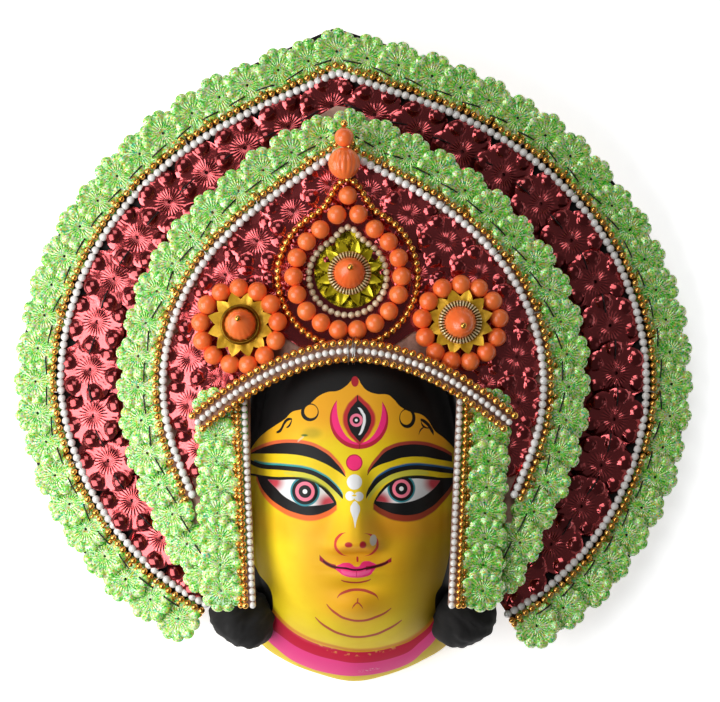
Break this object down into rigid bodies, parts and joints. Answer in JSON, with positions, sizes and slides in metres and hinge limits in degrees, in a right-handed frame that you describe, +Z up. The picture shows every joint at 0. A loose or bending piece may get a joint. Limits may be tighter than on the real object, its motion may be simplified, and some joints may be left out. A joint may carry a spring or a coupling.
{
  "type": "chhau mask",
  "caption": "Painted papier-mache dance mask of a three-eyed goddess, with a hollow face shell and a two-tier crown of foil flowers, beads and card, lying face up.",
  "frame": {"origin": "centre of the bounding box in X and Y, at the table that the rim of the face shell lies on", "axes": "+X to the right of someone facing the mask, +Y from the chin to the crown, +Z up out of the face"},
  "size_m": [0.4322, 0.4143, 0.1086],
  "materials": {
    "face_paint": "papier-mache with satin varnished paint, yellow face, black hair, red and pink lines",
    "pearl": "pearl-white coated beads",
    "gold_bead": "metallised gold beads",
    "green_foil": "stamped foil flowers, green with holographic glitter",
    "red_foil": "stamped and mirror-bright red foil",
    "yellow_foil": "yellow-gold foil",
    "orange_plastic": "moulded orange beads and domes",
    "card": "card lined with dark paper",
    "felt": "card lined with pinkish cloth",
    "hair_cloth": "bunched black cloth",
    "wire": "dull binding wire"
  },
  "bodies": {
    "root": {"face_shell": "face_paint", "outer_crown_board": "card", "outer_red_foil": "red_foil", "outer_pearl_strand": "pearl", "outer_gold_strands": "gold_bead", "outer_flower_border": "green_foil", "outer_rim_wire": "wire", "inner_crown_board": "felt", "inner_red_foil": "red_foil", "inner_pearl_strand": "pearl", "inner_gold_strands": "gold_bead", "inner_flower_border": "green_foil", "brow_strip": "felt", "brow_pearl_strand": "pearl", "brow_upper_gold_strand": "gold_bead", "brow_lower_gold_strand": "gold_bead", "left_panel_board": "felt", "left_panel_pearl_strand": "pearl", "left_panel_gold_strands": "gold_bead", "left_panel_flowers": "green_foil", "right_panel_board": "felt", "right_panel_pearl_strand": "pearl", "right_panel_gold_strands": "gold_bead", "right_panel_flowers": "green_foil", "left_hair_bunch": "hair_cloth", "right_hair_bunch": "hair_cloth", "centre_orange_beads": "orange_plastic", "centre_apex_bead": "orange_plastic", "centre_gold_outline": "gold_bead", "centre_pearl_drop": "pearl", "centre_foil_flower": "yellow_foil", "centre_bezel": "gold_bead", "centre_dome": "orange_plastic", "centre_tip_bead": "gold_bead", "left_orange_beads": "orange_plastic", "left_foil_flower": "yellow_foil", "left_bezel": "gold_bead", "left_dome": "orange_plastic", "left_tip_bead": "gold_bead", "right_orange_beads": "orange_plastic", "right_foil_flower": "yellow_foil", "right_bezel": "gold_bead", "right_dome": "orange_plastic", "right_tip_bead": "gold_bead", "finial_fluted_bead": "orange_plastic", "finial_small_bead": "orange_plastic", "finial_gold_bead": "gold_bead", "tier_post_1": "wire", "tier_post_2": "wire", "tier_post_3": "wire", "tier_post_4": "wire", "tier_post_5": "wire"}
  },
  "joints": []
}
